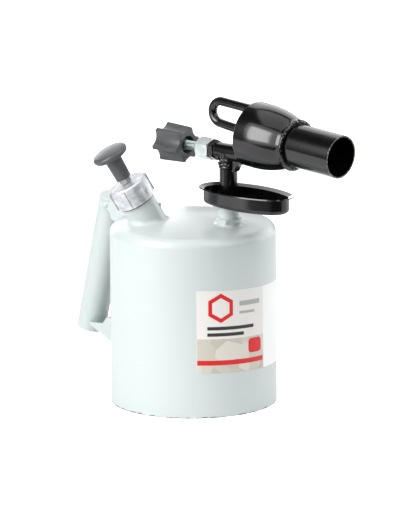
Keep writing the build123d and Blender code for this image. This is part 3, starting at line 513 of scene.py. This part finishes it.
def printed_label():
    """Off-white printed film with plain shapes."""
    material, tree, shader = new_material("printed_label")
    panel = panel_mask()
    print_width = (LABEL_PRINT_END - LABEL_START) * LABEL_RADIUS * LABEL_UNITS
    film, bare_film = rgb(214, 212, 208), rgb(226, 227, 227)
    red, grey, dark = rgb(202, 10, 8), rgb(158, 160, 162), rgb(34, 34, 36)
    facets = node(tree, "ShaderNodeTexVoronoi", feature="F1", Scale=0.72)
    place = node(tree, "ShaderNodeUVMap")
    join(tree, place.outputs[0], facets.inputs["Vector"])
    tint = node(tree, "ShaderNodeSeparateColor")
    join(tree, facets.outputs["Color"], tint.inputs[0])
    shade = blend_colour(tree, tint.outputs[0], rgb(176, 170, 158), rgb(206, 202, 193))
    # Left, right, low, high and corner radius of each shape in centimetres, and its ink
    colour = film
    for left, right, low, high, corner, ink in (
        (0.0, print_width, 0.0, 2.7, 0.0, shade),
        (print_width, 20.0, -1.0, 8.0, 0.0, bare_film),
        (0.0, print_width - 0.1, 0.62, 1.0, 0.0, red),
        (4.35, 5.75, 1.4, 2.55, 0.3, red),
        (3.5, 5.6, 5.25, 5.62, 0.05, grey),
        (3.5, 5.0, 4.62, 4.82, 0.03, grey),
        (0.8, 4.9, 3.42, 3.68, 0.04, dark),
        (0.8, 3.9, 2.92, 3.18, 0.04, dark),
    ):
        mask = place_group(tree, panel, Left=left, Right=right, Low=low, High=high, Corner=corner)
        colour = blend_colour(tree, mask.outputs[0], colour, ink)
    ring = place_group(tree, hexagon_mask(), Across=1.9, Up=5.15, Radius=0.86, Band=0.15)
    colour = blend_colour(tree, ring.outputs[0], colour, red)
    ripple = place_group(tree, skin, Wave_Scale=90.0, Grain_Scale=2200.0, Grain=0.2)
    gloss = place_group(tree, mottle, Scale=60.0, Contrast=1.4)
    join(tree, colour, shader.inputs["Base Color"])
    join(tree, blend_value(tree, gloss.outputs["Amount"], 0.28, 0.38), shader.inputs["Roughness"])
    add_bump(tree, shader, ripple.outputs[0], 0.00002, 0.4)
    return material


def make_label():
    """Strip of a cylinder round the tank, unrolled for the print and thickened."""
    bpy.ops.mesh.primitive_cylinder_add(
        vertices=360, radius=LABEL_RADIUS, depth=LABEL_HEIGHT, end_fill_type="NOTHING",
        location=(0, 0, LABEL_FOOT + LABEL_HEIGHT / 2),
    )
    label = bpy.context.object
    label.name = "tank_label"
    apply_place()
    bpy.ops.object.mode_set(mode="EDIT")
    bpy.ops.mesh.select_all(action="DESELECT")
    bpy.ops.object.mode_set(mode="OBJECT")
    for face in label.data.polygons:
        face.select = not LABEL_START <= round_the_tank(face.center) <= LABEL_END
    bpy.ops.object.mode_set(mode="EDIT")
    bpy.ops.mesh.select_mode(type="FACE")
    bpy.ops.mesh.delete(type="FACE")
    bpy.ops.object.mode_set(mode="OBJECT")
    layer = label.data.uv_layers.active or label.data.uv_layers.new(name="UVMap")
    for loop in label.data.loops:
        point = label.data.vertices[loop.vertex_index].co
        across = (round_the_tank(point) - LABEL_START) * LABEL_RADIUS
        layer.data[loop.index].uv = (across * LABEL_UNITS, (point.z - LABEL_FOOT) * LABEL_UNITS)
    for vertex in label.data.vertices:
        vertex.co.z += LABEL_SLOPE * (round_the_tank(vertex.co) - LABEL_START)
    sheet = label.modifiers.new("film", "SOLIDIFY")
    sheet.thickness = LABEL_SHEET
    sheet.offset = 1.0
    bpy.ops.object.modifier_apply(modifier=sheet.name)
    dress(label, printed_label())
    smooth_faces(30)
    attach(label, "lamp")


# Beads, thread, bell, knob and spring
def make_bead(name, centre, axis, ring_radius, bead_radius, lumps, finish, seed):
    """Weld or braze bead: a torus with lumps, laid in a joint."""
    bpy.ops.mesh.primitive_torus_add(
        major_radius=ring_radius, minor_radius=bead_radius, major_segments=180, minor_segments=20, location=centre,
        rotation=Vector(axis).to_track_quat("Z", "Y").to_euler(),
    )
    bead = bpy.context.object
    bead.name = name
    apply_place()
    wide, fine = 420, 1100        # lumps in a metre
    normals = [vertex.normal.copy() for vertex in bead.data.vertices]
    for vertex, normal in zip(bead.data.vertices, normals):
        lump = noise.noise(vertex.co * wide + Vector((seed, 0, 0))) + 0.5 * noise.noise(vertex.co * fine)
        vertex.co += normal * lumps * lump
    dress(bead, finishes[finish])
    bpy.ops.object.shade_smooth()
    bpy.ops.object.select_all(action="DESELECT")
    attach(bead, "lamp")


def make_thread(name, centre, radius, depth, pitch, length, finish, body):
    """Screw thread along X: a small flattened profile turned round the axis."""
    flatness = 0.62
    bpy.ops.mesh.primitive_circle_add(vertices=4, radius=depth, fill_type="NGON", location=(0, radius, 0))
    thread = bpy.context.object
    thread.name = name
    apply_place()
    for vertex in thread.data.vertices:
        vertex.co.x *= flatness
    turns = thread.modifiers.new("turns", "SCREW")
    turns.axis = "X"
    turns.angle = math.tau * length / pitch
    turns.screw_offset = length
    turns.steps = turns.render_steps = int(THREAD_STEPS * length / pitch)
    turns.use_merge_vertices = False
    bpy.ops.object.modifier_apply(modifier=turns.name)
    thread.location = centre
    apply_place()
    turn_faces_out()
    dress(thread, finishes[finish])
    smooth_faces(35)
    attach(thread, body)


def bell_profile():
    """Closed outline of the thin bell, as pairs of distance along the burner and radius."""
    drop = BELL_RADIUS - BELL_NECK_RADIUS
    sweep = 2 * math.atan(drop / (BELL_NECK_START - BELL_SKIRT))
    curve = drop / (1 - math.cos(sweep))
    outer = [(0.0, BELL_RADIUS)]
    for step in range(CURVE_STEPS + 1):
        turn = sweep * step / CURVE_STEPS
        outer.append((BELL_SKIRT + curve * math.sin(turn), BELL_RADIUS - curve * (1 - math.cos(turn))))
    outer.append((BELL_LIP, BELL_NECK_RADIUS))
    return outer + [(along, radius - BELL_SHEET) for along, radius in reversed(outer)]


def make_turned(name, profile, finish, replaced):
    """Closed profile turned a full circle about the burner's axis."""
    bpy.ops.mesh.primitive_circle_add(vertices=len(profile), radius=BELL_SKIRT, fill_type="NOTHING")
    piece = bpy.context.object
    piece.name = name
    for vertex, (along, radius) in zip(piece.data.vertices, profile):
        vertex.co = (along, 0, radius)
    turns = piece.modifiers.new("turns", "SCREW")
    turns.axis = "X"
    turns.steps = turns.render_steps = TURN_STEPS
    turns.use_merge_vertices = True
    turns.merge_threshold = SEAM_MERGE
    bpy.ops.object.modifier_apply(modifier=turns.name)
    piece.location = BURNER_REAR
    piece.rotation_euler = (0, BURNER_DIP, 0)
    apply_place()
    turn_faces_out()
    dress(piece, finishes[finish])
    smooth_faces(30)
    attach(piece, "lamp")
    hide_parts(replaced)


def merged_copy(name, ending):
    """Copy of a node's solid with its loose triangles merged."""
    piece = nodes[name].copy()
    piece.data = nodes[name].data.copy()
    piece.name = name + ending
    piece.parent = None
    piece.matrix_world = Matrix.Identity(4)
    scene.collection.objects.link(piece)
    bpy.ops.object.select_all(action="DESELECT")
    piece.select_set(True)
    bpy.context.view_layer.objects.active = piece
    bpy.ops.object.mode_set(mode="EDIT")
    bpy.ops.mesh.select_all(action="SELECT")
    bpy.ops.mesh.remove_doubles(threshold=MERGE)
    bpy.ops.object.mode_set(mode="OBJECT")
    return piece


def round_edges(name, width, body):
    """Copy of a node's solid with its sharp edges broken, as moulded."""
    piece = merged_copy(name, "_rounded")
    bpy.ops.object.mode_set(mode="EDIT")
    bpy.ops.mesh.select_all(action="SELECT")
    bpy.ops.mesh.dissolve_limited(angle_limit=math.radians(0.6))
    bpy.ops.object.mode_set(mode="OBJECT")
    edges = piece.modifiers.new("edges", "BEVEL")
    edges.width = width
    edges.segments = 3
    edges.limit_method = "ANGLE"
    edges.angle_limit = math.radians(32)
    bpy.ops.object.modifier_apply(modifier=edges.name)
    smooth_faces(38)
    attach(piece, body)
    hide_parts(name)


def make_soft_spring():
    """The valve's coil, which in the lamp shortens as the disc presses it down; here a smoothed copy at rest, with its
    own mesh.
    """
    coil = merged_copy("check_valve_spring", "_coil")
    smooth_faces(38)
    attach(coil, "pump_unit")
    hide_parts("check_valve_spring")
    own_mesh(coil)


make_label()
make_turned("bell_spun", bell_profile(), "bell", "burner_bell")
# Name, centre, axis, radius of the ring, radius of the bead, height of its lumps, finish and seed
for bead in (
    ("collar_braze", BURNER_REAR + BURNER_AXIS * BRAZE_PLACE, BURNER_AXIS, 18.7 * MM, 1.6 * MM, 0.55 * MM, "black", 1),
    ("riser_weld", (RISER_X, 0, 193.9 * MM), UP, 6.6 * MM, 1.5 * MM, 0.7 * MM, "black", 2),
    ("boss_weld", (RISER_X, 0, 197.4 * MM), UP, 7.0 * MM, 1.25 * MM, 0.8 * MM, "black", 3),
):
    make_bead(*bead)
make_thread(
    "spindle_thread", (-5.6 * MM, 0, VALVE_HEIGHT), radius=3.1 * MM, depth=0.42 * MM, pitch=1.25 * MM,
    length=14.2 * MM, finish="spindle", body="needle",
)
round_edges("valve_knob", 0.35 * MM, "star_knob")
make_soft_spring()

# Camera: the photograph's view, from in front and a little above
CAMERA_PLACE = Vector((3.5125, -3.8871, 1.3132))
CAMERA_RIGHT = Vector((0.74414, 0.66799, -0.00667))
CAMERA_UP = Vector((-0.14420, 0.17038, 0.97477))
CAMERA_BACK = Vector((0.65226, -0.72441, 0.22311))
SENSOR = 36.0
FOCAL_PIXELS = 6878.8
FRAME_HEIGHT = 513

# Floor: a plane that starts in front of the lamp and runs far behind it
FLOOR_SIZE = 2.4
FLOOR_FRONT = 0.42
FLOOR_GAP = 0.2 * MM
towards_camera = Vector((CAMERA_BACK.x, CAMERA_BACK.y, 0)).normalized()
floor_middle = towards_camera * (FLOOR_FRONT - FLOOR_SIZE / 2)
bpy.ops.mesh.primitive_plane_add(
    size=FLOOR_SIZE, location=(floor_middle.x, floor_middle.y, -FLOOR_GAP),
    rotation=(0, 0, math.atan2(towards_camera.y, towards_camera.x)),
)
floor = bpy.context.object
floor.name = "floor"
apply_place()
floor_paint, floor_tree, floor_shader = new_material("white_floor")
floor_shader.inputs["Base Color"].default_value = (0.66, 0.66, 0.66, 1)
floor_shader.inputs["Roughness"].default_value = 0.8
floor_shader.inputs["Emission Strength"].default_value = 1.0
floor_seen = node(floor_tree, "ShaderNodeLightPath")
floor_glow = node(floor_tree, "ShaderNodeMapRange", To_Min=0.15, To_Max=0.9)
join(floor_tree, floor_seen.outputs["Is Camera Ray"], floor_glow.inputs["Value"])
join(floor_tree, floor_glow.outputs[0], floor_shader.inputs["Emission Color"])
floor.data.materials.append(floor_paint)
bpy.ops.object.select_all(action="DESELECT")

# Lights: name, azimuth and elevation in degrees, distance, width, height and radiance
LAMP_MIDDLE = Vector((0.02, 0, 0.15))
LIGHTS = [
    ("window_core", -52, 15, 1.25, 0.62, 0.9, 7.5),
    ("window_middle", -47, 14, 1.3, 1.2, 1.45, 1.4),
    ("window_glow", -38, 12, 1.35, 1.7, 1.8, 0.5),
    ("rear_high_panel", 180, 43, 1.4, 1.7, 1.1, 1.3),
    ("top_panel", 20, 74, 1.4, 1.6, 1.6, 1.15),
    ("right_fill", 50, 32, 1.4, 1.5, 1.2, 2.45),
    ("left_panel", -96, 12, 1.4, 1.0, 1.3, 0.25),
    ("rear_right_panel", 120, 18, 1.5, 1.5, 1.3, 2.2),
    ("rear_left_panel", -160, 10, 1.5, 1.0, 1.2, 2.2),
]


def soft_box(name, azimuth, elevation, distance, width, height, radiance):
    """Area light that faces the lamp: azimuth 0 is on the camera's side and 90 on its right."""
    turn, lift = math.radians(azimuth), math.radians(elevation)
    level = CAMERA_BACK * math.cos(turn) + CAMERA_RIGHT * math.sin(turn)
    direction = (level * math.cos(lift) + CAMERA_UP * math.sin(lift)).normalized()
    data = bpy.data.lights.new(name, "AREA")
    data.shape = "RECTANGLE"
    data.size = width
    data.size_y = height
    data.energy = radiance * math.pi * width * height
    light = bpy.data.objects.new(name, data)
    light.location = LAMP_MIDDLE + direction * distance
    light.rotation_euler = direction.to_track_quat("Z", "Y").to_euler()
    scene.collection.objects.link(light)


for light_row in LIGHTS:
    soft_box(*light_row)

# World: white behind the lamp, and nearly dark to its surfaces
world = bpy.data.worlds.new("white_room")
scene.world = world
world.use_nodes = True
sky = world.node_tree
backdrop = sky.nodes["Background"]
backdrop.inputs["Color"].default_value = (1, 1, 1, 1)
seen = node(sky, "ShaderNodeLightPath")
level = node(sky, "ShaderNodeMapRange", To_Min=0.06, To_Max=1.0)
join(sky, seen.outputs["Is Camera Ray"], level.inputs["Value"])
join(sky, level.outputs[0], backdrop.inputs["Strength"])

camera_data = bpy.data.cameras.new("camera")
camera_data.lens = FOCAL_PIXELS * SENSOR / FRAME_HEIGHT
camera_data.sensor_width = SENSOR
camera_data.clip_start = 0.1
camera_data.clip_end = 50
camera = bpy.data.objects.new("camera", camera_data)
camera_turn = Matrix((CAMERA_RIGHT, CAMERA_UP, CAMERA_BACK)).transposed()
camera.matrix_world = Matrix.Translation(CAMERA_PLACE) @ camera_turn.to_4x4()
scene.collection.objects.link(camera)
scene.camera = camera
